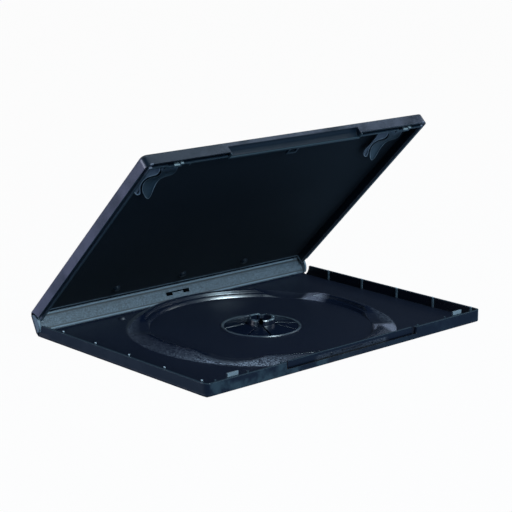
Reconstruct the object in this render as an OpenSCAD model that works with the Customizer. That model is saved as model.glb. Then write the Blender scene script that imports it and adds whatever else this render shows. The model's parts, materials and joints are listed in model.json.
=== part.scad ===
// Optical disc keep case: disc tray, spine and cover moulded in one piece, shown part open.
// Millimetres. X runs along the spine, Y from the thumb edge to the spine, Z is up.
// The origin is on the axis of the disc hub, on the underside of the tray.

/* [Overall size] */
// length of the case along the spine
case_len = 190; // [170:1:210]
// hub axis to the thumb edge of the tray
front_reach = 67.5; // [64:0.5:74]
// hub axis to the tray's hinge line
hinge_reach = 65.8; // [65:0.5:74]
// height of the tray's outside wall
tray_wall_h = 6.3; // [5.4:0.1:8]
// height of the cover's outside wall
cover_wall_h = 5.8; // [5:0.1:7]
// radius of the upright corners at the thumb edge
corner_r = 3; // [2:0.5:5]

/* [Wall thicknesses] */
// thickness of the two big panels
panel_t = 1.0; // [0.8:0.1:1.4]
// thickness of the outside walls
wall_t = 1.2; // [1:0.1:1.5]
// thickness of the spine panel
spine_t = 1.2; // [1:0.1:1.4]
// thickness of the folding webs
web_t = 0.4; // [0.3:0.05:0.5]

/* [How far it stands open] */
// lean of the spine behind the upright
spine_lean = 26.5; // [0:0.5:40]
// slope of the cover above the table
cover_slope = 45; // [20:0.5:80]

/* [Disc ring] */
// radius of the recess at the floor
recess_r = 57.7; // [57:0.1:58.5]
// height of the ledge under the disc's rim
ledge_z = 2.65; // [2.2:0.05:3]
// height of the ring's crest
crest_z = 4.6; // [4.2:0.1:5.4]
// outer foot radius of the ring
ring_foot_r = 70; // [67:0.5:72]
// direction of the finger scallops from the X axis
scallop_angle = 33.5; // [30:0.5:40]
// width of a scallop at the height of the crest
scallop_w = 36; // [30:1:46]

/* [Push hub] */
// radius of the hole that the petals fill
hub_hole_r = 19.5; // [18:0.25:22]
// outside radius of the collar that holds the disc
collar_r = 7.4; // [7.2:0.05:7.45]
// height of the collar's top
collar_top_z = 6.1; // [5.6:0.1:7]
// height of the seat under the disc
seat_z = 2.8; // [2.4:0.1:3.2]
// width of the slots between the petals
slot_w = 0.9; // [0.6:0.1:1.2]

/* [Thumb notch] */
// half the width of the notch in the tray's front wall
notch_half = 45.3; // [35:0.5:60]
// height of the sill left under the notch
sill_h = 2.9; // [2:0.1:4]
// radius of the cove in the cover's edge
cove_r = 3.4; // [2.8:0.1:3.6]

/* [Booklet clips and latches] */
// distance of each clip and latch from the end of the case
clip_in = 17.2; // [15:0.2:23]
// reach of the longer sprung finger
finger_len = 29.7; // [25:0.1:33]
// thickness of the sprung fingers
finger_t = 0.8; // [0.6:0.1:1]
// height of the fingers above the cover's outside face
finger_z = 3.2; // [2.6:0.1:3.6]
// width of the latch tabs
latch_w = 6.8; // [5:0.1:9]

/* [Hidden] */
$fn = 96;
half_len = case_len / 2;
cut = 0.5;
run_gap = 0.08;
shut_gap = 0.4;
// the hinge lines run through the middle of the webs, this deep under the outside faces
web_z = 0.5;
shut_h = tray_wall_h + cover_wall_h + shut_gap;
spine_w = shut_h - 2 * web_z;
leaf_len = front_reach + hinge_reach;
// bare strip on each side of a hinge line
fold_gap = 1.0;
spine_turn = 90 - spine_lean;
cover_turn = 90 + spine_lean - cover_slope;
// groove between the cover's wall and its inner lip, where the tray's ribs go when it is shut
lip_in = wall_t + 1.1;
lip_t = 0.9;
lip_h = cover_wall_h + 0.8;
rib_in = 0.8;
rib_w = 1.0;
rib_rise = 0.7;
end_ribs = [4.9, 31.7, 58.4, 85.1, 111.8];
rib_scale = leaf_len / 133.3;
front_ribs = [half_len - 26.6, half_len - 6.7, notch_half + 2.2];
clip_x = half_len - clip_in;
clip_shift = 1.6;
finger_scale = finger_len / 29.7;
bump_x = 45;
scallop_tilt = 2.5;
ear_t = 1.2;
ear_r = 6.2;
ear_back = 1.8;
ear_x = half_len - 0.4;
set_in_y = 1.5;
set_in_t = 1.0;
// where the petals' slots start on the diagonals, and how far they spread from them
slot_start = 4.5;
slot_spread = 24.5;
latch_top = 2.0;
grey = [0.10, 0.12, 0.16];
dark = [0.06, 0.07, 0.10];

// plate or block with its hinge side at y0 and rounded corners at the far side
module leaf_block(half, y0, y1, r, h) {
    translate([-half, y0, 0])
        cube([2 * half, y1 - r - y0, h]);
    translate([r - half, y1 - r - 0.01, 0])
        cube([2 * (half - r), r + 0.01, h]);
    for (s = [-1, 1])
        translate([s * (half - r), y1 - r, 0])
            cylinder(h = h, r = r);
}

// three-sided wall that follows the block's outline, set in by a distance
module leaf_wall(set_in, t, y0, h) {
    inner_r = max(corner_r - set_in - t, 0.3);
    outer_r = max(corner_r - set_in, 0.6);
    difference() {
        leaf_block(half_len - set_in, y0, leaf_len - set_in, outer_r, h);
        translate([0, 0, -cut])
            leaf_block(half_len - set_in - t, y0 - 1, leaf_len - set_in - t, inner_r, h + 2 * cut);
    }
}

// the same block with a bevel along its three outside bottom edges
module bevelled_block(y0, b, h) {
    side_y = leaf_len - corner_r;
    translate([corner_r - half_len, 0, 0])
        rotate([90, 0, 90])
            linear_extrude(height = case_len - 2 * corner_r)
                polygon([[y0, 0], [leaf_len - b, 0], [leaf_len, b], [leaf_len, h], [y0, h]]);
    translate([0, side_y, 0])
        rotate([90, 0, 0])
            linear_extrude(height = side_y - y0)
                polygon([[b - half_len, 0], [half_len - b, 0], [half_len, b], [half_len, h],
                    [-half_len, h], [-half_len, b]]);
    for (s = [-1, 1])
        translate([s * (half_len - corner_r), side_y, 0])
            rotate_extrude()
                polygon([[0, 0], [corner_r - b, 0], [corner_r, b], [corner_r, h], [0, h]]);
}

// room for the spine's ears in the ends of the side walls
module ear_room() {
    for (s = [-1, 1])
        translate([s > 0 ? ear_x - ear_t - 0.4 : -half_len - 1, 0, 0])
            translate([0, -web_z - ear_back, web_z + spine_w / 2])
                rotate([0, 90, 0])
                    cylinder(h = half_len + 1 - (ear_x - ear_t - 0.4), r = ear_r + 0.4);
}

module in_tray() {
    translate([0, hinge_reach, 0])
        mirror([0, 1, 0])
            children();
}

module in_spine() {
    translate([0, hinge_reach, web_z])
        rotate([spine_turn, 0, 0])
            children();
}

module in_cover() {
    in_spine()
        translate([0, spine_w, 0])
            rotate([cover_turn, 0, 0])
                translate([0, 0, -web_z])
                    children();
}

// low bumps near the hinge line
module bump_row(y, places) {
    for (x = places)
        translate([x, y, panel_t - 0.1])
            cylinder(h = 1.3, r1 = 2.4, r2 = 1.6);
}

module disc_ring() {
    back_y = hinge_reach - fold_gap - 0.3;
    front_y = front_reach - set_in_y - 0.2;
    intersection() {
        ring_body();
        translate([-half_len, -front_y, 0])
            cube([case_len, front_y + back_y, 2 * crest_z]);
    }
}

module ring_body() {
    difference() {
        rotate_extrude($fn = 144)
            polygon([[recess_r - 0.1, 0.5], [recess_r, panel_t], [recess_r + 1.9, ledge_z - 0.05],
                [recess_r + 2.8, ledge_z], [recess_r + 4.3, crest_z - 0.3],
                [recess_r + 5.1, crest_z], [recess_r + 6.2, crest_z - 0.2],
                [ring_foot_r, panel_t], [ring_foot_r, 0.5]]);
        for (a = [scallop_angle, 180 - scallop_angle, 180 + scallop_angle, 360 - scallop_angle])
            rotate([0, 0, a])
                scallop_cutter();
    }
}

// scoop that is level with the floor at the recess and leaves a low rim outside
module scallop_cutter() {
    rise = crest_z - panel_t - 5.1 * tan(scallop_tilt);
    r = (pow(scallop_w / 2, 2) + rise * rise) / (2 * rise);
    translate([recess_r, 0, panel_t + 0.06])
        rotate([0, -scallop_tilt, 0])
            translate([-1.3, 0, r])
                rotate([0, 90, 0])
                    cylinder(h = ring_foot_r - recess_r + 4, r = r);
}

module hub_ring() {
    rotate_extrude()
        polygon([[hub_hole_r, 0.3], [hub_hole_r, 1.4], [hub_hole_r + 0.5, 1.7],
            [hub_hole_r + 1.1, 1.7], [hub_hole_r + 1.6, panel_t - 0.1], [hub_hole_r + 1.6, 0.3]]);
}

module base_tray() {
    color(dark)
        difference() {
            union() {
                in_tray()
                    tray_shell();
                disc_ring();
                hub_ring();
            }
            translate([0, 0, -cut])
                cylinder(h = panel_t + 2 * cut, r = hub_hole_r);
        }
}

module tray_shell() {
    difference() {
        union() {
            difference() {
                bevelled_block(fold_gap, 0.4, tray_wall_h);
                translate([0, 0, panel_t])
                    leaf_block(half_len - wall_t, fold_gap - 1, leaf_len - wall_t,
                        corner_r - wall_t, tray_wall_h);
            }
            tray_end_ribs();
            tray_front_ribs();
            bump_row(6.3, [-bump_x, bump_x]);
        }
        ear_room();
        thumb_notch();
    }
    notch_wall();
    for (s = [-1, 1])
        translate([s * clip_x, 0, 0])
            latch_tab();
}

// upright ribs that steady the cover's wall
module tray_end_ribs() {
    for (s = [-1, 1])
        for (y = end_ribs)
            translate([s * (half_len - wall_t - rib_in), leaf_len - y * rib_scale - rib_w * (s + 1) / 2, 0])
                rotate([0, 0, s > 0 ? 0 : 180])
                upright_rib();
}

// rib that is fixed to the wall, with a thinner tip that enters the cover's groove
module upright_rib() {
    translate([0, 0, 0.4])
        cube([rib_in + 0.2, rib_w, tray_wall_h - 0.7]);
    translate([0, 0, 0.4])
        cube([rib_in - shut_gap, rib_w, tray_wall_h + rib_rise - 0.4]);
}

module tray_front_ribs() {
    for (s = [-1, 1])
        for (x = front_ribs)
            translate([s * x + rib_w / 2, leaf_len - wall_t - rib_in, 0])
                rotate([0, 0, 90])
                    upright_rib();
}

module thumb_notch() {
    translate([-notch_half, leaf_len - wall_t - 0.2, sill_h])
        cube([2 * notch_half, wall_t + 1, tray_wall_h]);
}

// wall behind the thumb notch, with a pillar at each end and a gap beside it
module notch_wall() {
    end_gap = 1.7;
    wall_half = notch_half - 0.4 - end_gap;
    y0 = leaf_len - set_in_y - set_in_t;
    translate([-wall_half, y0, 0.4])
        cube([2 * wall_half, set_in_t, tray_wall_h - 0.4]);
    for (s = [-1, 1]) {
        translate([s > 0 ? notch_half - 0.4 : -notch_half - 1.3, leaf_len - wall_t - rib_in, 0.4])
            cube([1.7, rib_in + 0.9, tray_wall_h - 0.4]);
        translate([s * 14.2, y0 + set_in_t - 0.1, sill_h + 1.3])
            rotate([-90, 0, 0])
                cylinder(h = 0.4, r = 0.5, $fn = 24);
    }
    translate([-7, y0 + set_in_t, sill_h + 1.7])
        rotate([0, 90, 0])
            cylinder(h = 14, r = 0.35, $fn = 24);
}

// tab that snaps behind the cover's latch block
module latch_tab() {
    y0 = leaf_len - set_in_y - 0.9;
    translate([-latch_w / 2, y0, 0.4])
        cube([latch_w, 0.9, tray_wall_h + latch_top - 0.4]);
    translate([-latch_w / 2, y0, 0.4])
        cube([latch_w, 1.4, tray_wall_h - 0.9]);
    translate([-latch_w / 2 + 0.4, y0, tray_wall_h + latch_top - 0.7])
        rotate([0, 90, 0])
            cylinder(h = latch_w - 0.8, r = 0.3, $fn = 24);
}

// the slots run off the radii: each plain petal narrows to a point short of the hub axis
module petal_wheel(tip_r) {
    root_r = hub_hole_r - run_gap;
    rotate_extrude()
        polygon([[root_r, 0.5], [root_r, 1.3], [collar_r + 1.0, seat_z], [tip_r, seat_z],
            [tip_r, seat_z - 0.9], [collar_r + 1.0, seat_z - 0.9]]);
}

module hub_leaf(turn) {
    tip = slot_start + slot_w / 2 / sin(slot_spread);
    reach = 2 * hub_hole_r;
    color(dark)
        rotate([0, 0, turn])
            intersection() {
                petal_wheel(collar_r + 0.9);
                linear_extrude(height = seat_z + 1)
                    polygon([[tip, 0], [tip + reach, -reach * tan(slot_spread)],
                        [tip + reach, reach * tan(slot_spread)]]);
            }
}

module hub_grip(turn) {
    side = 45 - slot_spread;
    start = slot_start / sqrt(2);
    inner_y = start - start * tan(side) - slot_w / 2 / cos(side);
    reach = 2 * hub_hole_r;
    outer_y = inner_y + reach * tan(side);
    color(dark)
        rotate([0, 0, turn]) {
            intersection() {
                petal_wheel(collar_r - 1.2);
                linear_extrude(height = seat_z + 1)
                    polygon([[0, -inner_y], [reach, -outer_y], [reach, outer_y], [0, inner_y]]);
            }
            rotate([0, 0, -34.5])
                rotate_extrude(angle = 69)
                    polygon([[collar_r - 1.2, seat_z - 0.9], [collar_r - 0.4, seat_z - 0.9],
                        [collar_r, seat_z + 0.07], [collar_r, seat_z + 2.6], [collar_r - 0.5, collar_top_z],
                        [collar_r - 1.2, collar_top_z]]);
            for (a = [-34.5, 25.5])
                rotate([0, 0, a])
                    rotate_extrude(angle = 9)
                        polygon([[collar_r - 2, seat_z - 0.6], [collar_r - 1, seat_z - 0.6],
                            [collar_r - 1, collar_top_z], [collar_r - 2, collar_top_z]]);
        }
}

module hub_leaf_1() {
    hub_leaf(45);
}

module hub_leaf_2() {
    hub_leaf(135);
}

module hub_leaf_3() {
    hub_leaf(225);
}

module hub_leaf_4() {
    hub_leaf(315);
}

module hub_grip_1() {
    hub_grip(90);
}

module hub_grip_2() {
    hub_grip(180);
}

module hub_grip_3() {
    hub_grip(270);
}

module hub_grip_4() {
    hub_grip(0);
}

// folding web, bent round from the flat edge at y = -fold_gap by an angle
module web(turn, half) {
    r = fold_gap / tan(turn / 2);
    free = 0.05 * 180 / (PI * r);
    translate([-half, -fold_gap, r])
        rotate([0, 90, 0])
            rotate_extrude(angle = turn - free)
                translate([r - web_t / 2, 0])
                    square([web_t, 2 * half]);
}

module hinge_web_tray() {
    color(grey)
        translate([0, hinge_reach, web_z])
            web(spine_turn, half_len - 0.4);
}

module hinge_web_cover() {
    color(grey)
        in_spine()
            translate([0, spine_w, 0])
                web(cover_turn, half_len - 0.4);
}

module spine_panel() {
    slot_half = 8.1;
    color(grey)
        in_spine()
            difference() {
                union() {
                    translate([-ear_x, fold_gap, -web_z])
                        cube([2 * ear_x, spine_w - 2 * fold_gap, spine_t]);
                    for (s = [-1, 1])
                        spine_ear(s);
                    for (y = [fold_gap + 0.4, spine_w - fold_gap - 1.1])
                        translate([7 - half_len, y, spine_t - web_z - 0.1])
                            cube([2 * half_len - 14, 0.7, 0.4]);
                }
                translate([-slot_half, spine_w / 2 - 0.9, 0.4 - web_z])
                    spine_slot(slot_half);
            }
}

// blind slot with a tab standing in it
module spine_slot(slot_half) {
    difference() {
        cube([2 * slot_half, 2.0, spine_t + cut]);
        translate([slot_half - 3.8, -1, -1])
            cube([7.6, 2.4, spine_t + 4]);
    }
}

module spine_ear(s) {
    intersection() {
        translate([s > 0 ? ear_x - ear_t : -ear_x, spine_w / 2, -web_z - ear_back])
            rotate([0, 90, 0])
                cylinder(h = ear_t, r = ear_r);
        translate([-half_len, fold_gap, -web_z])
            cube([case_len, spine_w - 2 * fold_gap, 8]);
    }
}

module cover() {
    color(dark)
        in_cover()
            difference() {
                union() {
                    difference() {
                        bevelled_block(fold_gap, 0.5, cover_wall_h);
                        translate([0, 0, panel_t])
                            leaf_block(half_len - wall_t, fold_gap - 1, leaf_len - wall_t,
                                corner_r - wall_t, cover_wall_h);
                    }
                    cover_lip();
                    cove_shell();
                    bump_row(9.4, [-bump_x, 0, bump_x]);
                    cover_bead();
                    for (s = [-1, 1])
                        translate([s * clip_x, 0, 0])
                            latch_block();
                }
                ear_room();
                cove_cutter();
            }
}

module cover_bead() {
    translate([3.4 - half_len, fold_gap + 0.3, panel_t - 0.1])
        cube([case_len - 6.8, 0.7, 0.4]);
}

// inner lip that stands proud of the wall, with gaps for the tray's latch tabs
module cover_lip() {
    gap = latch_w + 1;
    lip_y = leaf_len - lip_in;
    translate([0, 0, 0.4])
        difference() {
            leaf_wall(lip_in, lip_t, fold_gap + 0.6, lip_h - 0.4);
            for (s = [-1, 1])
                translate([s * clip_x - gap / 2, lip_y - lip_t - 0.2, panel_t - 0.4])
                    cube([gap, lip_t + 0.4, lip_h]);
        }
    for (s = [-1, 1])
        translate([s > 0 ? half_len - lip_in - lip_t : lip_in - half_len - 0.7, lip_y - 0.9, 0.4])
            cube([1.6, 1.6, cover_wall_h - 0.5]);
    translate([-front_ribs[0] - 0.4, lip_y - lip_t - 0.8, 0.4])
        cube([0.8, 1.0, lip_h - 0.1]);
    centre_loop(lip_y - lip_t);
}

// flat loop that hangs from the middle of the lip
module centre_loop(y) {
    translate([0, y, lip_h - 0.8])
        difference() {
            translate([-3.4, -5.4, 0])
                cube([6.8, 6.0, 0.8]);
            translate([-2.2, -4.2, -cut])
                cube([4.4, 2.8, 2]);
        }
}

module latch_block() {
    gap = latch_w + 1;
    y = leaf_len - lip_in - lip_t;
    translate([-gap / 2 - 1, y - 1.4, 0.4])
        cube([gap + 2, 1.4, lip_h - 0.4]);
    for (s = [-1, 1])
        translate([s > 0 ? gap / 2 : -gap / 2 - 1, y - 0.1, 0.4])
            cube([1, 0.4, lip_h - 0.4]);
}

// rounded cove that lets a thumb lift the cover
module cove_shell() {
    half = notch_half - 0.7;
    intersection() {
        translate([-half, leaf_len + 0.4, 2.4 + cove_r])
            rotate([0, 90, 0])
                cylinder(h = 2 * half, r = cove_r + 1.0);
        translate([-half, leaf_len - 6, 0.3])
            cube([2 * half, 6, lip_h + 0.3]);
    }
}

module cove_cutter() {
    half = notch_half - 1.3;
    translate([-half, leaf_len + 0.4, 2.4 + cove_r])
        rotate([0, 90, 0])
            cylinder(h = 2 * half, r = cove_r);
}

// outlines of the two sprung fingers, across and back from the lip
outer_finger = [[-12.3, 0], [-7.1, 0], [-4.3, -3.9], [-3.3, -6.2], [-3.1, -7.6], [-3.4, -8.8],
    [-4.4, -9.5], [-6.9, -9.9], [-8.5, -10.6], [-9.4, -12.0], [-9.7, -14.0], [-9.5, -16.0],
    [-7.5, -19.9], [-5.8, -22.7], [-5.3, -24.1], [-5.7, -24.8], [-6.7, -24.7], [-8.9, -23.2],
    [-10.8, -20.8], [-11.9, -18.1], [-12.1, -16.2], [-11.4, -14.6], [-11.2, -12.1],
    [-11.4, -8.8], [-12.0, -5.0]];
inner_finger = [[-5.2, -1.4], [4.6, -1.4], [7.0, -5.0], [8.2, -8.4], [7.8, -10.8], [6.6, -11.9],
    [4.4, -12.2], [2.3, -12.6], [1.0, -13.8], [0.4, -15.6], [0.8, -18.8], [1.9, -23.1],
    [3.1, -27.1], [3.1, -29.0], [2.4, -29.7], [1.2, -29.2], [-1.3, -26.7], [-4.3, -23.1],
    [-6.4, -19.9], [-7.9, -16.6], [-8.3, -14.2], [-7.7, -12.2], [-6.5, -11.3], [-4.6, -11.1],
    [-2.6, -11.0], [-1.4, -10.3], [-1.2, -8.6], [-1.8, -6.9], [-3.4, -4.3]];

module sprung_finger(x, outline) {
    color(grey)
        in_cover()
            translate([x, leaf_len - lip_in - lip_t - run_gap, finger_z])
                linear_extrude(height = finger_t)
                    polygon(finger_scale * outline);
}

module left_clip_outer() {
    sprung_finger(-clip_x, outer_finger);
}

module left_clip_inner() {
    sprung_finger(-clip_x, inner_finger);
}

module right_clip_outer() {
    sprung_finger(clip_x - clip_shift, outer_finger);
}

module right_clip_inner() {
    sprung_finger(clip_x - clip_shift, inner_finger);
}

base_tray();
hub_leaf_1();
hub_grip_1();
hub_leaf_2();
hub_grip_2();
hub_leaf_3();
hub_grip_3();
hub_leaf_4();
hub_grip_4();
hinge_web_tray();
spine_panel();
hinge_web_cover();
cover();
left_clip_outer();
left_clip_inner();
right_clip_outer();
right_clip_inner();
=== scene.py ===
# %% [markdown]
# # A disc keep case in black polypropylene
# The real case is one moulding. A flat tray, a narrow spine and a cover are joined by two
# folding webs, and the case is shown part open. Nearly all of its look comes from one dark
# plastic with two finishes: a fine spark-etched grain on the big panels and a smooth satin on
# walls, ring and hub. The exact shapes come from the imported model. This script adds the
# bending webs, the dished booklet fingers and the smooth inner walls of the disc ring, and
# then the finishes, the floor and the light.

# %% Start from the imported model
import bpy
import json
import math
from mathutils import Matrix, Vector


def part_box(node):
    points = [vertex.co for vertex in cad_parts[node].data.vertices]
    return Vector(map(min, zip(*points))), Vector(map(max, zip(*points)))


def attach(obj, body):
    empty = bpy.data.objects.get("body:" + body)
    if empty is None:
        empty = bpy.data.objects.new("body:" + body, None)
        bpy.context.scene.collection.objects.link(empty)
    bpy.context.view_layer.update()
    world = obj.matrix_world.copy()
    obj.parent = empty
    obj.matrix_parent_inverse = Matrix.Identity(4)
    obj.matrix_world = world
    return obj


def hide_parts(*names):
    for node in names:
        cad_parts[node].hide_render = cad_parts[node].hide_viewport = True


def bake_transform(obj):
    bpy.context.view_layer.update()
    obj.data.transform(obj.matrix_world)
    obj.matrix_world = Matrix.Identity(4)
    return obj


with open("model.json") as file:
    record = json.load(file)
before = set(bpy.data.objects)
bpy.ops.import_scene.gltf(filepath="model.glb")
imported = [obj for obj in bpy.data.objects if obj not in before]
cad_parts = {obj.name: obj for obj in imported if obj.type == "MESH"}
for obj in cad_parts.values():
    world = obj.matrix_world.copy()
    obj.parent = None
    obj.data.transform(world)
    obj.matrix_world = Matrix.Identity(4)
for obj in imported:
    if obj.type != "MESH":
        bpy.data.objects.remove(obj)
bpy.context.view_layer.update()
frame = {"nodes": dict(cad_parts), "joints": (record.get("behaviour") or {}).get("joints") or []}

# %% [markdown]
# ## The camera first
# The photograph's camera stands low at the left front corner. Its place was solved from the
# corners of the case, so it is written down as numbers: a long lens far away, with no shift.

# %% Camera
CAMERA_PLACE = (-0.54717, -0.59862, 0.23451)
CAMERA_AZIMUTH, CAMERA_ELEVATION = math.radians(-42.238), math.radians(13.587)
LENS, SENSOR = 114.16, 36.0
toward_camera = Vector((math.sin(CAMERA_AZIMUTH) * math.cos(CAMERA_ELEVATION),
                        -math.cos(CAMERA_AZIMUTH) * math.cos(CAMERA_ELEVATION),
                        math.sin(CAMERA_ELEVATION)))
camera_data = bpy.data.cameras.new("photo_camera")
camera_data.sensor_width, camera_data.lens = SENSOR, LENS
camera_data.clip_start, camera_data.clip_end = 0.05, 20
camera = bpy.data.objects.new("photo_camera", camera_data)
bpy.context.scene.collection.objects.link(camera)
camera.location = CAMERA_PLACE
camera.rotation_mode = "QUATERNION"
camera.rotation_quaternion = (-toward_camera).to_track_quat("-Z", "Y")
bpy.context.scene.camera = camera
print("camera at", CAMERA_PLACE)

# %% [markdown]
# ## Where the case folds
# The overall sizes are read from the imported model, so that the added pieces fit it. The
# tray's box gives the length and the reach to the front. The joints give the two hinge lines
# and how far they turn. At one end of that range the case is shut, with the spine upright and
# the cover flat over the tray, so the two limits there also say how far the spine leans back
# and how steeply the cover slopes. The cover isn't level, so a small helper turns a place on it
# (along the spine, away from the hinge, up from the outside face) into a place in space.

# %% Hinge lines and directions
MM = 0.001


def in_mm(metres):
    """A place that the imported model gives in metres, in millimetres."""
    return [round(value / MM, 3) for value in metres]


joints = {joint["name"]: joint for joint in frame["joints"]}
tray_low, tray_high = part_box("base_tray")
HALF, FRONT = in_mm(tray_high)[0], -in_mm(tray_low)[1]
TRAY_HINGE = Vector(in_mm(joints["tray_hinge"]["pos_m"]))
HINGE, WEB_DEPTH = in_mm(joints["tray_hinge"]["pos_m"])[1:]
LEAF = FRONT + HINGE
SPINE_W = round((Vector(in_mm(joints["cover_hinge"]["pos_m"])) - TRAY_HINGE).length, 2)
lean_degrees = joints["tray_hinge"]["range_deg"][1]
slope_degrees = lean_degrees + joints["cover_hinge"]["range_deg"][1]
LEAN, SLOPE = math.radians(lean_degrees), math.radians(slope_degrees)
SPINE_UP = Vector((0, math.sin(LEAN), math.cos(LEAN)))
SPINE_IN = Vector((0, -math.cos(LEAN), math.sin(LEAN)))
COVER_HINGE = TRAY_HINGE + SPINE_UP * SPINE_W
COVER_OUT = Vector((0, -math.cos(SLOPE), math.sin(SLOPE)))
COVER_IN = Vector((0, -math.sin(SLOPE), -math.cos(SLOPE)))


def on_cover(x, away, depth):
    """A place on the cover in millimetres, as a point in metres."""
    return (Vector((x, 0, 0)) + COVER_HINGE + COVER_OUT * away
            + COVER_IN * (depth - WEB_DEPTH)) * MM


print("half length", HALF, "and reach to the front", FRONT)
print("spine", SPINE_W, "wide, leaning", lean_degrees, "and cover sloping", slope_degrees)

# %% [markdown]
# ## Small helpers for modelling
# Operators act on everything that is selected, so each piece starts with a clean selection.
# Every piece is modelled round the origin, and then its points are moved to their place in
# space. The object itself stays at the origin, so that patterns on Object coordinates stay
# where they are.

# %% Modelling helpers
def clear_selection():
    """Leaves edit mode and deselects every object."""
    if bpy.context.object and bpy.context.object.mode != "OBJECT":
        bpy.ops.object.mode_set(mode="OBJECT")
    bpy.ops.object.select_all(action="DESELECT")


def only(piece):
    """Makes one piece the selected and active object."""
    clear_selection()
    bpy.context.view_layer.objects.active = piece
    piece.select_set(True)


def place_points(piece, mapping):
    """Moves every point of a piece by a function of its place."""
    for v in piece.data.vertices:
        v.co = mapping(*v.co)
    piece.data.update()


def apply_all(piece):
    """Applies every modifier of a piece in turn."""
    only(piece)
    for modifier in list(piece.modifiers):
        bpy.ops.object.modifier_apply(modifier=modifier.name)


def outward(piece):
    """Turns all faces of a closed piece to point outwards."""
    only(piece)
    bpy.ops.object.mode_set(mode="EDIT")
    bpy.ops.mesh.select_all(action="SELECT")
    bpy.ops.mesh.normals_make_consistent(inside=False)
    bpy.ops.object.mode_set(mode="OBJECT")


def smooth(piece, degrees):
    """Shades a piece smooth, apart from edges that are sharper than an angle."""
    only(piece)
    bpy.ops.object.shade_smooth_by_angle(angle=math.radians(degrees))


# %% [markdown]
# ## The folding webs
# Beside each fold the moulding thins to 0.4 mm, and this thin strip bends whenever the case
# opens. It is a flat strip swept round an arc that meets both panels without a kink. One row
# of faces would fold like paper, so the strip gets eighteen rows.

# %% Webs
# Bare strip of a panel beside its hinge line, which the web bridges
FOLD_GAP = 1.0
WEB_T, WEB_ROWS = 0.4, 18
# How far a web goes into the panels, and how far it stops short of the case's ends
WEB_OVERLAP, WEB_END_GAP = 0.25, 0.4


def folding_web(name, corner, before, inward, turn, node):
    """A thin strip over a hinge line (corner), bent by an angle (turn) from panel to panel.

    The first panel runs along before, the second leaves it at the turn, and inward points off the
    first.
    """
    radius = FOLD_GAP / math.tan(turn / 2)
    start = corner - before * FOLD_GAP
    clear_selection()
    bpy.ops.mesh.primitive_grid_add(x_subdivisions=2, y_subdivisions=WEB_ROWS, size=2)
    web = bpy.context.object
    web.name = web.data.name = name

    def bend(x, y, z):
        way = (y + 1) / 2 * (turn * radius + 2 * WEB_OVERLAP) - WEB_OVERLAP
        angle = min(max(way / radius, 0.0), turn)
        spare = way - angle * radius
        along = radius * math.sin(angle) + spare * math.cos(angle)
        up = radius * (1 - math.cos(angle)) + spare * math.sin(angle)
        across = Vector((x * (HALF - WEB_END_GAP), 0, 0))
        return (across + start + before * along + inward * up) * MM

    place_points(web, bend)
    thick = web.modifiers.new("thickness", "SOLIDIFY")
    thick.thickness = WEB_T * MM
    thick.offset = 0
    apply_all(web)
    outward(web)
    smooth(web, degrees=60)
    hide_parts(node)
    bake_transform(web)
    return web


web_tray = folding_web("web_tray", TRAY_HINGE, Vector((0, 1, 0)), Vector((0, 0, 1)),
                       math.pi / 2 - LEAN, "hinge_web_tray")
web_cover = folding_web("web_cover", COVER_HINGE, SPINE_UP, SPINE_IN,
                        math.pi / 2 + LEAN - SLOPE, "hinge_web_cover")
print("webs", len(web_tray.data.vertices), len(web_cover.data.vertices))

# %% [markdown]
# ## The booklet fingers
# Each corner of the cover carries two sprung fingers that hold a booklet. A finger isn't a
# flat plate: its middle is dished and its edge stands up as a thin rim, which catches the
# light. The outlines run across and back from the cover's lip, as seen from inside the case.
# Both corners carry the same pair, and not a mirrored one.

# %% Outlines of the fingers
OUTER_FINGER = [(-12.3, 0), (-7.1, 0), (-4.3, -3.9), (-3.3, -6.2), (-3.1, -7.6), (-3.4, -8.8),
                (-4.4, -9.5), (-6.9, -9.9), (-8.5, -10.6), (-9.4, -12.0), (-9.7, -14.0),
                (-9.5, -16.0), (-7.5, -19.9), (-5.8, -22.7), (-5.3, -24.1), (-5.7, -24.8),
                (-6.7, -24.7), (-8.9, -23.2), (-10.8, -20.8), (-11.9, -18.1), (-12.1, -16.2),
                (-11.4, -14.6), (-11.2, -12.1), (-11.4, -8.8), (-12.0, -5.0)]
INNER_FINGER = [(-5.2, -1.4), (4.6, -1.4), (7.0, -5.0), (8.2, -8.4), (7.8, -10.8),
                (6.6, -11.9), (4.4, -12.2), (2.3, -12.6), (1.0, -13.8), (0.4, -15.6),
                (0.8, -18.8), (1.9, -23.1), (3.1, -27.1), (3.1, -29.0), (2.4, -29.7),
                (1.2, -29.2), (-1.3, -26.7), (-4.3, -23.1), (-6.4, -19.9), (-7.9, -16.6),
                (-8.3, -14.2), (-7.7, -12.2), (-6.5, -11.3), (-4.6, -11.1), (-2.6, -11.0),
                (-1.4, -10.3), (-1.2, -8.6), (-1.8, -6.9), (-3.4, -4.3)]
# The strip along the lip where a finger's corners stay square
ROOT_STRIP = 1.5


def rounded(outline, passes=2):
    """Cuts the corners of a closed outline, so that it reads as one smooth curve."""
    points = [Vector(p) for p in outline]
    for _ in range(passes):
        cut = []
        for i, p in enumerate(points):
            q = points[(i + 1) % len(points)]
            keep_square = p.y > -ROOT_STRIP and q.y > -ROOT_STRIP
            cut += [p, q] if keep_square else [p * 0.75 + q * 0.25, p * 0.25 + q * 0.75]
        points = cut
    return points


print("rounded outlines have", len(rounded(OUTER_FINGER)), len(rounded(INNER_FINGER)), "points")

# %% [markdown]
# ## From an outline to a dished finger
# A finger starts as a filled circle whose points are moved to the outline. The first inset
# leaves the flat rim, the second leaves the steep side of the dish, and the middle is then
# pushed down and split into triangles. The thickness grows toward the cover's panel, so that
# the rim and the dish that are seen stay where they are.

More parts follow.
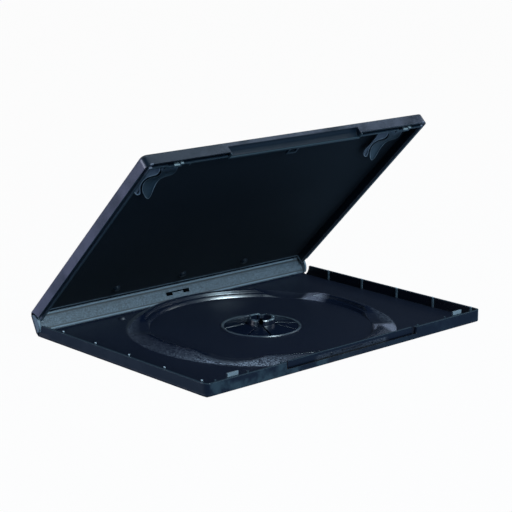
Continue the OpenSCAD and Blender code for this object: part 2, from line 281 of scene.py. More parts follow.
# %% Booklet fingers
# From the cover's edge to the inside of its lip, and from there to the finger's root
LIP_INSIDE, ROOT_GAP = 3.2, 0.28
LIP_Y = LEAF - LIP_INSIDE - ROOT_GAP
FINGER_Z, FINGER_RISE, FINGER_T = 3.2, 0.75, 0.42
FINGER_TOP = FINGER_Z + FINGER_RISE
RIM_W, DISH_SIDE_W, DISH = 0.36, 0.26, 0.3


def booklet_finger(name, centre_x, outline, node, body):
    """One sprung finger with a raised rim, laid at its depth in the cover."""
    points = rounded(outline)
    clear_selection()
    bpy.ops.mesh.primitive_circle_add(vertices=len(points), radius=1, fill_type="NGON")
    finger = bpy.context.object
    finger.name = finger.data.name = name
    for vertex, point in zip(finger.data.vertices, points):
        vertex.co = (point.x, point.y, 0)
    bpy.ops.object.mode_set(mode="EDIT")
    bpy.ops.mesh.select_all(action="SELECT")
    bpy.ops.mesh.inset(thickness=RIM_W, depth=0.0)
    bpy.ops.mesh.inset(thickness=DISH_SIDE_W, depth=0.0)
    bpy.ops.transform.translate(value=(0, 0, -DISH))
    bpy.ops.mesh.select_all(action="SELECT")
    bpy.ops.mesh.quads_convert_to_tris()
    bpy.ops.object.mode_set(mode="OBJECT")
    place_points(finger, lambda x, y, z: on_cover(centre_x + x, LIP_Y + y, FINGER_TOP + z))
    thick = finger.modifiers.new("thickness", "SOLIDIFY")
    thick.thickness = FINGER_T * MM
    thick.offset = 1
    apply_all(finger)
    outward(finger)
    smooth(finger, degrees=50)
    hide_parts(node)
    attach(finger, body)
    return finger


fingers = []
for side in ("left", "right"):
    for place, outline in (("outer", OUTER_FINGER), ("inner", INNER_FINGER)):
        node = f"{side}_clip_{place}"
        centre_x = in_mm(joints[f"{node}_bend"]["pos_m"])[0]
        fingers.append(booklet_finger(f"booklet_finger_{side}_{place}", centre_x, outline,
                                      node, node))
print("booklet fingers", len(fingers))

# %% [markdown]
# ## The inner walls of the disc ring
# Two steep satin walls with a ledge between them carry the brightest reflections of the whole
# case. Long facets would show in them, so they are turned from one profile in many steps, like
# on a lathe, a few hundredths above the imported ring. The four finger scallops are then cut
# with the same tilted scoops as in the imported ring.

# %% The scoops of the finger scallops
RECESS_R, RING_FOOT_R, PANEL_T, CREST_Z = 57.7, 70.0, 1.0, 4.6
# From the recess's edge to the ring's crest
CREST_OUT = 5.1
SCALLOP_ANGLE, SCALLOP_WIDTH, SCALLOP_TILT = 33.5, 36.0, math.radians(2.5)
# A scoop starts inside the recess, stays just above the floor, and is wider by a hair
SCOOP_START, SCOOP_LIFT, SCOOP_SPARE = 1.3, 0.06, 0.02
SCOOP_OVERHANG, SCOOP_SIDES = 4, 288


def scallop_scoops():
    """The four cylinders that cut the finger scallops, in millimetres."""
    rise = CREST_Z - PANEL_T - CREST_OUT * math.tan(SCALLOP_TILT)
    radius = ((SCALLOP_WIDTH / 2) ** 2 + rise ** 2) / (2 * rise)
    length = RING_FOOT_R - RECESS_R + SCOOP_OVERHANG
    scoops = []
    for direction in (SCALLOP_ANGLE, 180 - SCALLOP_ANGLE, 180 + SCALLOP_ANGLE, -SCALLOP_ANGLE):
        clear_selection()
        bpy.ops.mesh.primitive_cylinder_add(vertices=SCOOP_SIDES, radius=radius + SCOOP_SPARE,
                                            depth=length)
        scoop = bpy.context.object
        scoop.matrix_world = (
            Matrix.Rotation(math.radians(direction), 4, "Z")
            @ Matrix.Translation((RECESS_R, 0, PANEL_T + SCOOP_LIFT))
            @ Matrix.Rotation(-SCALLOP_TILT, 4, "Y")
            @ Matrix.Translation((length / 2 - SCOOP_START, 0, radius))
            @ Matrix.Rotation(math.pi / 2, 4, "Y"))
        bpy.ops.object.transform_apply(location=True, rotation=True, scale=True)
        scoops.append(scoop)
    return scoops


# %% Ring walls
# Out from the recess's edge and up from the tray's floor, round the closed profile
WALL_PROFILE = [(0.03, -0.15), (0.98, 1.52), (1.12, 1.66), (1.35, 1.71), (2.55, 1.71),
                (2.78, 1.76), (2.92, 1.90), (3.36, 3.25), (3.72, 3.52), (4.30, 3.63),
                (5.20, 3.64), (5.20, 3.30), (3.50, 1.40), (2.00, 1.20), (1.40, -0.15)]
LATHE_STEPS, WELD_GAP = 180, 0.0005


def ring_walls():
    """The profile turned round the hub's axis, less the scallops."""
    clear_selection()
    bpy.ops.mesh.primitive_circle_add(vertices=len(WALL_PROFILE), radius=1, fill_type="NOTHING")
    walls = bpy.context.object
    walls.name = walls.data.name = "ring_walls"
    for corner, (out, up) in zip(walls.data.vertices, WALL_PROFILE):
        corner.co = (RECESS_R + out, 0, PANEL_T + up)
    lathe = walls.modifiers.new("lathe", "SCREW")
    lathe.steps = lathe.render_steps = LATHE_STEPS
    lathe.use_merge_vertices = True
    lathe.merge_threshold = WELD_GAP
    apply_all(walls)
    outward(walls)
    scoops = scallop_scoops()
    for scoop in scoops:
        cut = walls.modifiers.new("scallop", "BOOLEAN")
        cut.operation, cut.solver, cut.object = "DIFFERENCE", "EXACT", scoop
    apply_all(walls)
    clear_selection()
    for scoop in scoops:
        scoop.select_set(True)
    bpy.ops.object.delete()
    place_points(walls, lambda x, y, z: Vector((x, y, z)) * MM)
    smooth(walls, degrees=25)
    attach(walls, "tray")
    return walls


disc_ring_walls = ring_walls()
print("ring walls", len(disc_ring_walls.data.polygons))

# %% [markdown]
# ## Reading and doing sums in materials
# A material is easier to read as a formula than as a web of nodes. A small class wraps a
# socket, so that `1 - mask` or `grain * 0.3` adds the Math nodes by itself. A mask is a number
# from 0 to 1 that says where something is, so `above`, `below` and `between` are most of what
# the finishes need.

# %% A socket that can be used in formulas
class Wire:
    """A value in a node tree. Sums on it add Math nodes."""

    def __init__(self, paint, socket):
        self.paint, self.socket = paint, socket

    def _math(self, operation, *values, clamp=False):
        return self.paint.add("ShaderNodeMath", {"operation": operation, "use_clamp": clamp},
                              dict(enumerate(values)))

    def __add__(self, other):
        return self._math("ADD", self, other)

    __radd__ = __add__

    def __sub__(self, other):
        return self._math("SUBTRACT", self, other)

    def __rsub__(self, other):
        return self._math("SUBTRACT", other, self)

    def __mul__(self, other):
        return self._math("MULTIPLY", self, other)

    __rmul__ = __mul__

    def __truediv__(self, other):
        return self._math("DIVIDE", self, other)

    def __pow__(self, other):
        return self._math("POWER", self, other)

    def largest(self, other):
        return self._math("MAXIMUM", self, other)

    def smallest(self, other):
        return self._math("MINIMUM", self, other)

    def held(self, low=0.0, high=1.0):
        """The value, held between two limits."""
        return self.largest(low).smallest(high)

    def size(self):
        """The value without its sign."""
        return self._math("ABSOLUTE", self)

    def above(self, edge, soft=0.1):
        """0 below the edge and 1 above it, with a soft step of that width between."""
        return self._math("MULTIPLY", self - (edge - soft / 2), 1 / soft, clamp=True)

    def below(self, edge, soft=0.1):
        """1 below the edge and 0 above it."""
        return 1 - self.above(edge, soft)

    def between(self, low, high, soft=0.1):
        """1 between two edges and 0 outside them."""
        return self.above(low, soft) * self.below(high, soft)

    def fading(self, edge, soft, loss):
        """1 below the edge, and less by a share above it."""
        return 1 - self.above(edge, soft) * loss


# %% A material under construction
class Paint:
    """The node tree of a material or of the world."""

    def __init__(self, owner, output="ShaderNodeOutputMaterial"):
        self.owner = owner
        owner.use_nodes = True
        self.tree = owner.node_tree
        self.tree.nodes.clear()
        self.output = self.tree.nodes.new(output)

    def add(self, kind, settings=None, inputs=None, out=0):
        """A node of a kind, with its settings and the values or links of its sockets."""
        node = self.tree.nodes.new(kind)
        for key, value in (settings or {}).items():
            setattr(node, key, value)
        for key, value in (inputs or {}).items():
            if isinstance(value, Wire):
                self.tree.links.new(value.socket, node.inputs[key])
            else:
                node.inputs[key].default_value = value
        return Wire(self, node.outputs[out])

    def here(self):
        """Object coordinates, in metres."""
        return self.add("ShaderNodeTexCoord", out="Object")

    def along(self, direction, start=0.0):
        """How far a place lies along a direction, in millimetres from a start."""
        dot = self.add("ShaderNodeVectorMath", {"operation": "DOT_PRODUCT"},
                       {0: self.here(), 1: tuple(direction)}, out="Value")
        return dot * (1 / MM) - start

    def noise(self, scale, detail=2.0, rough=0.5):
        """A cloudy pattern with about this many patches in a metre."""
        return self.add("ShaderNodeTexNoise", {"noise_dimensions": "3D"},
                        {"Vector": self.here(), "Scale": scale, "Detail": detail,
                         "Roughness": rough})

    def blend(self, factor, first, second):
        """A colour between two. A Mix node's colours are its sockets 6 and 7, and its output 2."""
        return self.add("ShaderNodeMix", {"data_type": "RGBA"},
                        {"Factor": factor, 6: first, 7: second}, out=2)

    def finish(self, shader):
        self.tree.links.new(shader.socket, self.output.inputs["Surface"])
        return self.owner


# %% [markdown]
# ## The black plastic
# The colour is a blue-black that is hardly lighter than the shadows, so the surface shows
# itself mostly by its sheen. Two finishes are mixed by a mask. Where the mould was etched, a
# bump of six hundredths of a millimetre scatters the light. Elsewhere the surface stays satin,
# with faint unevenness from the mould. Sharp moulded edges are softened a little in the
# shading, because real plastic never fills a corner completely.
#
# Each part of the case lists places that are paler or darker than the black, as pairs of a mask
# and a colour, and they are laid over the black one by one. A few are speckles and mottling of
# the plastic itself. Most are painted light: painted highlights on rims, tabs and beads,
# painted sheen on walls and fingers, and painted shade in grooves, under a finger and in the
# notch.

# %% Case plastic
BLUE_BLACK, SLOT_BLACK = (0.0016, 0.0032, 0.0090), (0.0006, 0.0009, 0.0014)
# The tint's share in the deepest and in the lightest places
DEEP, LIGHT = 0.75, 0.75 * 1.9
# The part of the grain's bump that is left on the smooth finish
SMOOTH_BUMP = 0.08


class Plastic(Paint):
    """A material that has the patterns of moulded plastic, from the finest to the broadest."""

    def __init__(self, name):
        super().__init__(bpy.data.materials.new(name))
        self.speck = self.noise(5200.0, 1.0)
        self.grain = self.noise(2600.0, 3.0, 0.6)
        self.flow = self.noise(130.0, 2.0)
        self.drift = self.noise(22.0, 3.0)


def smooth_all_over(paint):
    """A mask for pieces without grain."""
    return 0.0


def grained_all_over(paint):
    """A mask for pieces that the mould's etching covers."""
    return 1.0


def nowhere_pale(paint):
    """The pale places of pieces that have none."""
    return ()


def case_plastic(name, grained=smooth_all_over, marks_and_painted_light=nowhere_pale, shadow=None,
                 tint=BLUE_BLACK, smooth_rough=0.30, grain_rough=0.50, grain_depth=0.06,
                 edge=0.35, shine=0.5, uneven=1.0):
    """The case's plastic. The grain's depth and the edge's radius are in millimetres."""
    paint = Plastic(name)
    mask = grained(paint)
    lightness = (paint.drift * 0.5 + paint.flow * 0.3 + paint.grain * 0.2) * 0.9
    deep, light = ((*(v * share for v in tint), 1) for share in (DEEP, LIGHT))
    colour = paint.blend(lightness, deep, light)
    for amount, pale in marks_and_painted_light(paint):
        colour = paint.blend(amount, colour, (*pale, 1))
    satin = ((paint.flow - 0.5) * 0.10 + (paint.drift - 0.5) * 0.08) * uneven + smooth_rough
    etched = (paint.speck - 0.5) * 0.16 + grain_rough
    height = (paint.grain * 0.7 + paint.speck * 0.3) * (mask * (1 - SMOOTH_BUMP) + SMOOTH_BUMP)
    soft_edge = paint.add("ShaderNodeBevel", {"samples": 4}, {"Radius": edge * MM})
    bump = paint.add("ShaderNodeBump", {}, {"Strength": 1.0, "Distance": grain_depth * MM,
                                            "Height": height, "Normal": soft_edge})
    shader = paint.add("ShaderNodeBsdfPrincipled", {}, {
        "Base Color": colour, "Roughness": satin * (1 - mask) + etched * mask,
        "Normal": bump, "IOR": 1.49, "Specular IOR Level": shine})
    if shadow:
        black = paint.add("ShaderNodeBsdfDiffuse", {}, {"Color": (*SLOT_BLACK, 1)})
        shader = paint.add("ShaderNodeMixShader", {}, {0: shadow(paint), 1: shader, 2: black})
    return paint.finish(shader)


# %% [markdown]
# ## The tray and its ring
# The floor, the ring's outer slope, the scallops and the two bumps near the spine are etched,
# and walls, ledge and hub ring are smooth. The four scallops lie 33.5 degrees off the X axis.
# There the share of X in the distance from the hub, which is the cosine of that direction,
# lies between two values, and the edges of a scallop lie at the ends of that range.

# %% Where the tray is etched
TRAY_TOP, NOTCH_HALF, SILL_H, WALL_T = 6.3, 45.3, 2.9, 1.2
CREST_R = RECESS_R + CREST_OUT
# Between the tops of the bumps and the ledge, and where the row of bumps begins
BELOW_LEDGE, BUMP_ROW = 2.6, 55.0
# Shares of X in the distance from the hub, across a scallop
SCALLOP_SPAN = 0.70, 0.93


def tray_places(paint):
    """Places on the tray: across and back from the hub, up from the table, and out."""
    x, y, height = paint.along((1, 0, 0)), paint.along((0, 1, 0)), paint.along((0, 0, 1))
    return x, y, height, (x * x + y * y) ** 0.5


def in_scallop(x, radius):
    """The four scallops, by direction and by distance from the hub."""
    span = (x.size() / radius).between(*SCALLOP_SPAN, 0.04)
    return span * radius.between(RECESS_R - 0.2, RING_FOOT_R + 0.5, 0.3)


def tray_grained(paint):
    """Floor, outer slope of the ring, scallops and the bumps near the spine."""
    x, y, height, radius = tray_places(paint)
    low = height.below(BELOW_LEDGE, 0.3)
    floor = height.between(PANEL_T - 0.1, PANEL_T + 0.15)
    slope = radius.between(CREST_R + 0.8, RING_FOOT_R + 1, 0.5) * height.below(CREST_Z + 0.15)
    bumps = y.above(BUMP_ROW, 1.0) * radius.above(RING_FOOT_R + 1, 0.5) * low
    return floor.largest(slope).largest(in_scallop(x, radius) * low).largest(bumps)


print("ring crest at", round(CREST_R, 1), "from the hub, foot at", RING_FOOT_R)

# %% [markdown]
# ## Where the tray is pale
# The ring's outer slope carries painted glints, speckled like sand where the front light grazes
# it, that fade toward the back and the right. The flanks of the two right scallops carry a dull
# painted sheen, and wall tops, tabs, ribs and the hub's ring carry painted highlights. The
# outside walls are mottled, and the front wall's pale patches also paint a reflection that
# fades to the right. The sill of the thumb notch and the inside of the right wall get painted
# shade, so they stay darker than the rest.

# %% Pale places of the tray
TRAY_PALE = {"front wall": (0.015, 0.025, 0.034), "end walls": (0.010, 0.012, 0.020),
             "ring slope glints": (0.150, 0.165, 0.205), "scallop flank sheen": (0.13, 0.13, 0.17),
             "hub ring highlight": (0.048, 0.060, 0.072), "wall top highlights": (0.020, 0.030, 0.040),
             "latch tabs": (0.15, 0.18, 0.205), "rib tip highlights": (0.30, 0.36, 0.40),
             "right wall shade": (0.0003, 0.0012, 0.0040), "right rib highlights": (0.030, 0.044, 0.058),
             "sill": (0.0004, 0.0008, 0.0014)}
CLIP_X = -in_mm(joints["left_clip_outer_bend"]["pos_m"])[0]
TAB_HALF = 3.3
HUB_HOLE_R, HUB_RING_W = 19.5, 1.6
# Soft edges past which a pale place fades, their widths and the share that it loses
FRONT_TO_RIGHT = 0.0, 70.0, 0.8
SLOPE_TO_BACK, SLOPE_TO_RIGHT = (-24.0, 40.0, 0.74), (-36.0, 25.0, 0.68)
# Shares of X in the distance from the hub, at the flanks of the two right scallops
FRONT_FLANK, BACK_FLANK = (0.60, 0.76), (0.91, 0.975)


def tray_mottle_and_painted_light(paint):
    """Masks and colours of the tray's mottling, painted highlights and painted shade."""
    x, y, height, radius = tray_places(paint)
    patches = (paint.noise(95.0, 3.0, 0.6) - 0.47) * 7.0 * (0.6 + paint.grain * 0.8)
    patches = patches.held()
    # Mottled patches on the front wall, partly the plastic's own mottling and partly a painted
    # reflection that fades to the right
    front = y.below(0.25 - FRONT, 0.3) * x.fading(*FRONT_TO_RIGHT)
    yield front * (patches * 0.95 + 0.05), TRAY_PALE["front wall"]
    yield x.size().above(HALF - 0.25, 0.2) * (patches * 0.4 + 0.2), TRAY_PALE["end walls"]
    yield from ring_painted_light(paint)
    # Painted highlight on the hub's ring
    hub_ring = radius.between(HUB_HOLE_R - 0.1, HUB_HOLE_R + HUB_RING_W + 0.1, 0.15)
    hub_ring = hub_ring * height.above(PANEL_T + 0.35, 0.2)
    yield hub_ring * (paint.flow * 1.2).smallest(0.7), TRAY_PALE["hub ring highlight"]
    # Painted highlights on the wall tops
    yield height.above(TRAY_TOP - 0.15, 0.15) * 0.8, TRAY_PALE["wall top highlights"]
    # Painted highlights on the tops of the latch tabs and of the rib tips
    proud = height.above(TRAY_TOP + 0.2)
    tabs = x.size().between(CLIP_X - TAB_HALF, CLIP_X + TAB_HALF) * proud
    yield tabs * y.below(2.5 - FRONT, 0.2) * (patches * 0.35 + 0.65), TRAY_PALE["latch tabs"]
    yield x.size().above(HALF - 3) * proud, TRAY_PALE["rib tip highlights"]
    # Painted shade on the inside of the right wall
    inner_face = x.between(HALF - WALL_T - 0.2, HALF - WALL_T + 0.2, 0.05)
    yield inner_face * height.below(TRAY_TOP - 0.2), TRAY_PALE["right wall shade"]
    # Painted highlights on the ribs inside the right wall
    ribs = x.between(HALF - WALL_T - 0.95, HALF - WALL_T - 0.1, 0.05)
    ribs = ribs * height.above(PANEL_T + 0.3, 0.2) * height.below(TRAY_TOP + 0.1)
    yield ribs, TRAY_PALE["right rib highlights"]
    # Painted shadow on the sill of the thumb notch
    sill = y.between(0.05 - FRONT, 1.5 - FRONT, 0.05) * height.between(SILL_H - 0.3, SILL_H + 0.3)
    yield sill * x.size().below(NOTCH_HALF), TRAY_PALE["sill"]


def ring_painted_light(paint):
    """Painted glints on the ring's slope, and a dull painted sheen on its right scallops' flanks.
    """
    x, y, height, radius = tray_places(paint)
    sand = paint.noise(1500.0, 2.0, 0.6)
    # Painted glints where the front light grazes the slope, stronger toward its foot
    slope = radius.between(CREST_R + 0.4, RING_FOOT_R + 0.3, 0.6) * height.above(PANEL_T + 0.2, 0.3)
    slope = (slope + in_scallop(x, radius) * 0.2) * height.below(CREST_Z + 0.4, 0.2)
    slope = slope * y.fading(*SLOPE_TO_BACK) * y.above(1.45 - FRONT, 0.2)
    slope = slope * x.fading(*SLOPE_TO_RIGHT)
    toward_foot = ((radius - (CREST_R - 1.3)) * 0.13).held(0.25)
    speckle = (sand - 0.42) * 5.0 * (0.4 + paint.drift) * toward_foot
    yield slope * speckle.held(), TRAY_PALE["ring slope glints"]
    # A dull painted sheen on the flanks of the two right scallops
    flank_sheen = (x / radius).between(*FRONT_FLANK, 0.05) * y.below(0.0, 1.0)
    flank_sheen = flank_sheen + (x / radius).between(*BACK_FLANK, 0.02) * y.above(0.0, 1.0)
    flank_sheen = flank_sheen * radius.between(RECESS_R + 0.2, RING_FOOT_R, 0.3)
    flank_sheen = flank_sheen * height.below(CREST_Z + 0.1, 0.2)
    yield flank_sheen * (sand * 0.8 + 0.2), TRAY_PALE["scallop flank sheen"]


print("pale places of the tray", len(TRAY_PALE))

# %% [markdown]
# ## The cover
# Both sides of the cover's panel are etched. The inside is almost black. The end walls and the
# thumb edge carry a mottled painted sheen, with a violet cast on the end walls, and the rims
# carry blue-grey painted highlights. The lip at the ends, the latch blocks and the bead beside
# the fold carry the palest painted highlights.

# %% Finish of the cover
COVER_TOP, LIP_TOP, BEAD_END = 5.8, 6.6, 2.4
# How far right of a latch's middle its block carries a painted highlight
LATCH_SPAN = 0.5, 5.6
COVER_PALE = {"end walls": (0.080, 0.074, 0.104), "thumb edge": (0.034, 0.036, 0.050),
              "latch block highlights": (0.12, 0.145, 0.16), "end lip highlights": (0.075, 0.080, 0.105),
              "wall top highlights": (0.022, 0.034, 0.044), "lip top highlights": (0.022, 0.036, 0.046),
              "bead": (0.10, 0.14, 0.18)}


def cover_places(paint):
    """Places on the cover: across, out from the hinge line, and in from the outside face."""
    return (paint.along((1, 0, 0)),
            paint.along(COVER_OUT, COVER_OUT.dot(COVER_HINGE)),
            paint.along(COVER_IN, COVER_IN.dot(COVER_HINGE) - WEB_DEPTH))


def cover_grained(paint):
    """The inside and the outside of the cover's panel."""
    depth = cover_places(paint)[2]
    return depth.below(PANEL_T + 0.15)


def cover_mottle_and_painted_light(paint):
    """Masks and colours of the cover's mottled painted sheen and its painted highlights."""
    x, away, depth = cover_places(paint)
    cloud, sand = paint.noise(70.0, 3.0, 0.55), paint.noise(1200.0, 2.0, 0.6)
    mottle = ((cloud - 0.40) * 3.0 + (sand - 0.5) * 1.5 + 0.3).held()
    # Painted sheen with a violet cast on the end walls, broken up by mottling
    yield x.size().above(HALF - 0.3, 0.3) * (mottle * 0.6 + 0.4), COVER_PALE["end walls"]
    # Painted sheen on the thumb edge, mottled and growing toward the right
    yield away.above(LEAF - 0.3, 0.3) * mottle * x.above(-60.0, 120.0), COVER_PALE["thumb edge"]
    side = x / x.size()
    right_of_latch = (x.size() - CLIP_X) * side
    # Painted highlights on the latch blocks
    latch = right_of_latch.between(*LATCH_SPAN, 0.2) * depth.above(COVER_TOP - 1, 0.2)
    yield latch * away.between(LEAF - 5.4, LEAF - 1.6), COVER_PALE["latch block highlights"]
    # Painted highlights on the lips at the ends
    end_lips = x.size().between(HALF - 4.0, HALF - 2.1) * depth.above(COVER_TOP - 0.5)
    yield end_lips, COVER_PALE["end lip highlights"]
    # Painted highlights on the cover's wall tops
    wall_tops = depth.above(COVER_TOP - 0.15, 0.15) * away.below(LEAF - 7.5, 1.0)
    yield wall_tops * 0.7, COVER_PALE["wall top highlights"]
    # Painted highlights on the lip tops
    yield depth.above(LIP_TOP - 0.15) * 0.8, COVER_PALE["lip top highlights"]
    # Painted highlight on the bead beside the fold
    yield depth.above(PANEL_T + 0.22, 0.08) * away.below(BEAD_END), COVER_PALE["bead"]


print("pale places of the cover", len(COVER_PALE))

# %% [markdown]
# ## The spine
# The spine faces the light and is the palest panel, and that light is painted into a paler
# tint of the same plastic. It is etched and speckled all over, with a painted highlight on each
# of two beads, a painted shade line beside each, and a blind slot that no light reaches. A slot
# that is only 0.8 mm deep would still catch the broad lights, so its floor and sides get a
# painted shade, a black that doesn't shine.

# %% Finish of the spine
SPINE_PALE = {"speckle": (0.043, 0.064, 0.087), "lines": (0.004, 0.007, 0.012),
              "beads": (0.070, 0.098, 0.125)}
# Heights up the spine of the painted shade lines beside the beads
LINES = (2.2, 2.9), (8.5, 9.3)
SPINE_T = 1.2
SLOT_HALF, SLOT_LOW, SLOT_HIGH, SLOT_FLOOR = 8.3, 4.7, 7.0, 0.4


def spine_places(paint):
    """Places on the spine: across, up from the tray's hinge line, and in from outside."""
    return (paint.along((1, 0, 0)),
            paint.along(SPINE_UP, SPINE_UP.dot(TRAY_HINGE)),
            paint.along(SPINE_IN, SPINE_IN.dot(TRAY_HINGE) - WEB_DEPTH))


def spine_speckle_and_painted_light(paint):
    """Masks and colours of the spine's speckle, painted shade lines and painted bead highlights."""
    x, up, depth = spine_places(paint)
    yield ((paint.noise(1350.0, 2.0, 0.6) - 0.42) * 4.5).held(), SPINE_PALE["speckle"]
    # Painted shade lines beside the beads
    low_line, high_line = (up.between(*line, 0.15) for line in LINES)
    yield low_line + high_line, SPINE_PALE["lines"]
    # Painted highlights on the beads
    yield depth.above(SPINE_T + 0.2), SPINE_PALE["beads"]


def spine_slot(paint):
    """The floor and sides of the blind slot in the spine."""
    x, up, depth = spine_places(paint)
    opening = x.size().below(SLOT_HALF) * up.between(SLOT_LOW, SLOT_HIGH)
    return opening * depth.between(SLOT_FLOOR - 0.2, SPINE_T - 0.1)


print("slot of the spine", 2 * SLOT_HALF, "by", round(SLOT_HIGH - SLOT_LOW, 2))

# %% [markdown]
# ## The fingers and the hub
# The booklet fingers are thin, and their sheen is painted into a tint paler than the panel
# behind them. Their rims carry painted highlights, the inner finger's waist a painted shadow,
# and the tip of the inner finger a teal painted sheen in its dish. The top of the hub's collar
# carries painted highlights, in places only.

# %% Finishes of the fingers and the hub
# Painted sheen, painted rim highlights, and a painted shadow at the inner finger's waist
FINGER_PALE = {"outer": (0.105, 0.115, 0.145), "outer rim highlight": (0.30, 0.33, 0.37),
               "root": (0.080, 0.100, 0.125), "waist": (0.010, 0.018, 0.024),
               "tip": (0.045, 0.066, 0.082), "inner rim highlight": (0.28, 0.32, 0.36)}
# Painted highlight on the top of the hub's collar
HUB_PAINTED_HIGHLIGHT, COLLAR_TOP = (0.070, 0.096, 0.115), 6.1


def finger_places(paint):
    """Distance from the finger's root, and masks of its dish and of its painted rim highlight."""
    away, depth = cover_places(paint)[1:]
    dish = depth.below(FINGER_TOP - DISH + 0.03, 0.05)
    rim = depth.above(FINGER_TOP - 0.08, 0.04) * ((paint.flow - 0.3) * 3.0).held(0.5)
    return LIP_Y - away, dish, rim


def outer_finger_painted_sheen(paint):
    """Painted sheen on the outer finger all over, strongest at its rim."""
    from_root, _, rim = finger_places(paint)
    # Painted sheen that weakens away from the root
    yield from_root.fading(6.0, 18.0, 0.3), FINGER_PALE["outer"]
    # Painted highlight on the rim
    yield rim, FINGER_PALE["outer rim highlight"]


def inner_finger_painted_light(paint):
    """Painted sheen at the root, painted shadow at the waist, teal painted sheen in the tip's dish.
    """
    from_root, dish, rim = finger_places(paint)
    # Painted sheen at the root
    yield from_root.below(8.0, 5.0), FINGER_PALE["root"]
    # Painted shadow at the waist, cast by the outer finger
    yield from_root.above(6.5, 5.0), FINGER_PALE["waist"]
    # Teal painted sheen in the dish of the tip
    yield from_root.above(15.0, 12.0) * dish, FINGER_PALE["tip"]
    # Painted highlight on the rim, weaker along the middle
    yield rim * (1 - from_root.between(5.0, 14.0, 3.0) * 0.8), FINGER_PALE["inner rim highlight"]


def hub_painted_highlights(paint):
    """Painted highlights in patches on the collar's top."""
    # Painted highlights in patches on the collar's top
    highlight_patches = ((paint.flow - 0.40) * 5.0).held(0.12)
    yield paint.along((0, 0, 1)).above(COLLAR_TOP - 0.55, 0.3) * highlight_patches, HUB_PAINTED_HIGHLIGHT


# %% [markdown]
# ## One plastic, eight finishes
# All pieces share the same plastic, and differ in tint, in roughness and in how strongly they
# shine. The paler tints of the spine and the fingers are painted light. The ring's walls, the
# hub and the webs are the smoothest. The cover's panel is the roughest, so that no lamp draws a
# sharp sheen on it.

# %% The finishes
plastic_tray = case_plastic("plastic_tray", tray_grained, tray_mottle_and_painted_light, shine=0.3)
plastic_ring = case_plastic("plastic_ring", tray_grained, tray_mottle_and_painted_light, smooth_rough=0.27,
                            shine=0.75, uneven=0.15)
plastic_cover = case_plastic("plastic_cover", cover_grained, cover_mottle_and_painted_light,
                             tint=(0.0016, 0.0042, 0.0084), grain_rough=0.72, shine=0.32)
# The spine's paler tint paints the light that falls on it
plastic_spine = case_plastic("plastic_spine", grained_all_over, spine_speckle_and_painted_light, spine_slot,
                             tint=(0.010, 0.018, 0.028), grain_depth=0.12)
plastic_hub = case_plastic("plastic_hub", marks_and_painted_light=hub_painted_highlights, smooth_rough=0.24,
                           shine=0.7)
# The fingers' paler tint paints their sheen on the same black plastic
finger_look = {"tint": (0.036, 0.045, 0.060), "smooth_rough": 0.42, "edge": 0.2, "shine": 0.35}
plastic_outer = case_plastic("plastic_outer_finger", marks_and_painted_light=outer_finger_painted_sheen,
                             **finger_look)
plastic_inner = case_plastic("plastic_inner_finger", marks_and_painted_light=inner_finger_painted_light,
                             **finger_look)
plastic_web = case_plastic("plastic_web", smooth_rough=0.26)
print("finishes", [m.name for m in bpy.data.materials if m.name.startswith("plastic")])

# %% Each piece gets its finish
FINISH = {"base_tray": plastic_tray, "cover": plastic_cover, "spine_panel": plastic_spine}
for name, node in frame["nodes"].items():
    material = FINISH.get(name, plastic_hub if name.startswith("hub_") else plastic_web)
    node.data.materials.clear()
    node.data.materials.append(material)
for piece in fingers:
    piece.data.materials.append(plastic_outer if piece.name.endswith("outer") else plastic_inner)
disc_ring_walls.data.materials.append(plastic_ring)
for piece in (web_tray, web_cover):
    piece.data.materials.append(plastic_web)
print("finishes given to", len(frame["nodes"]), "nodes")

# %% [markdown]
# ## Floor and backdrop
# The photograph is a cut-out on white. The camera sees the floor and the world as plain white,
# and a small share of the floor's own colour keeps a faint contact shadow. All other rays meet
# a dark blue-grey card, so that no white glow lights the case from below. Right under the case
# the floor is near black, because no light gets there.

# %% Floor
FLOOR_SIZE, FLOOR_DROP = 6, 0.0002
WHITE_SHARE = 0.97
CARD_COLOUR, SHADE_COLOUR = (0.15, 0.20, 0.27, 1), (0.004, 0.006, 0.010, 1)
clear_selection()
bpy.ops.mesh.primitive_plane_add(size=FLOOR_SIZE, location=(0, 0, -FLOOR_DROP))
floor = bpy.context.object
floor.name = "studio_floor"
bpy.ops.object.transform_apply(location=True, rotation=True, scale=True)
paint = Paint(bpy.data.materials.new("studio_white"))
x, y = paint.along((1, 0, 0)), paint.along((0, 1, 0))
under = x.size().below(HALF - 1, 0.5) * y.between(1 - FRONT, HINGE - 1, 0.5)
card = paint.add("ShaderNodeBsdfDiffuse", {}, {"Color": CARD_COLOUR})
shade = paint.add("ShaderNodeBsdfDiffuse", {}, {"Color": SHADE_COLOUR})
ground = paint.add("ShaderNodeMixShader", {}, {0: under, 1: card, 2: shade})
white = paint.add("ShaderNodeEmission", {}, {"Color": (1, 1, 1, 1), "Strength": 1.0})
seen = paint.add("ShaderNodeLightPath", out="Is Camera Ray") * (1 - under) * WHITE_SHARE
floor.data.materials.append(paint.finish(
    paint.add("ShaderNodeMixShader", {}, {0: seen, 1: ground, 2: white})))
print("floor", FLOOR_SIZE, "metres wide")

# %% World
WORLD_COLOUR, WORLD_STRENGTH = (0.50, 0.66, 0.88, 1), 0.08
sky = Paint(bpy.data.worlds.new("studio"), "ShaderNodeOutputWorld")
lit = sky.add("ShaderNodeBackground", {}, {"Color": WORLD_COLOUR, "Strength": WORLD_STRENGTH})
white = sky.add("ShaderNodeBackground", {}, {"Color": (1, 1, 1, 1)})
seen = sky.add("ShaderNodeLightPath", out="Is Camera Ray")
bpy.context.scene.world = sky.finish(
    sky.add("ShaderNodeMixShader", {}, {0: seen, 1: lit, 2: white}))
print("world", bpy.context.scene.world.name)

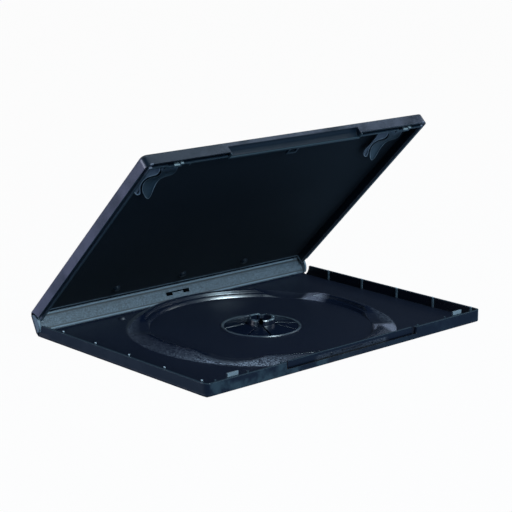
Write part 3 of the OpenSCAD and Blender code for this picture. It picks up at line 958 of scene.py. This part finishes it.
# %% [markdown]
# ## Light
# The cover stands over the tray at 45 degrees, so only low lamps and lamps from the front
# reach the ring and the recess. A pair in front lights the walls and the spine. A low lamp at
# the back left draws the sheen of the ring, and one at the left lights the left edges. Four
# weak ones open up the right end. Every lamp is a soft rectangle that faces the middle of the
# tray.

# %% Lamps
LAMP_DISTANCE = 1.15
CENTRE = Vector((0, 0, 0.01))
# Compass angle from the X axis, height angle, width and height, watts and colour
LAMPS = {
    "front": (-88, 21, 0.42, 0.32, 3.8, (0.58, 0.84, 1.0)),
    "front_high": (-90, 44, 0.44, 0.13, 21.0, (0.70, 0.90, 1.0)),
    "back_left_low": (150, 9, 0.42, 0.42, 7.0, (0.80, 0.84, 1.0)),
    "right_low": (-23, 21, 0.30, 0.20, 1.1, (0.80, 0.93, 1.0)),
    "front_right": (-60, 26, 0.42, 0.30, 0.5, (0.58, 0.85, 1.0)),
    "left_low": (-177, 15, 0.30, 0.16, 5.0, (0.62, 0.84, 1.0)),
    "right_back": (0, 28, 0.30, 0.24, 0.7, (0.80, 0.85, 1.0)),
    "right_high": (-30, 55, 0.42, 0.42, 1.0, (0.72, 0.88, 1.0)),
}


def soft_lamp(name, azimuth, elevation, width, height, watts, colour):
    """A rectangular lamp at two angles from the middle of the tray, turned to face it."""
    data = bpy.data.lights.new(name, "AREA")
    data.shape, data.size, data.size_y = "RECTANGLE", width, height
    data.energy, data.color = watts, colour
    lamp = bpy.data.objects.new(name, data)
    bpy.context.scene.collection.objects.link(lamp)
    a, e = math.radians(azimuth), math.radians(elevation)
    toward_lamp = Vector((math.cos(e) * math.cos(a), math.cos(e) * math.sin(a), math.sin(e)))
    lamp.location = CENTRE + toward_lamp * LAMP_DISTANCE
    lamp.rotation_mode = "QUATERNION"
    lamp.rotation_quaternion = (-toward_lamp).to_track_quat("-Z", "Y")
    return lamp


lamps = [soft_lamp(name, *values) for name, values in LAMPS.items()]
print("lamps", len(lamps))

# %% [markdown]
# ## The view
# The Standard view shows each colour about as it is written.

bpy.context.scene.view_settings.view_transform = "Standard"
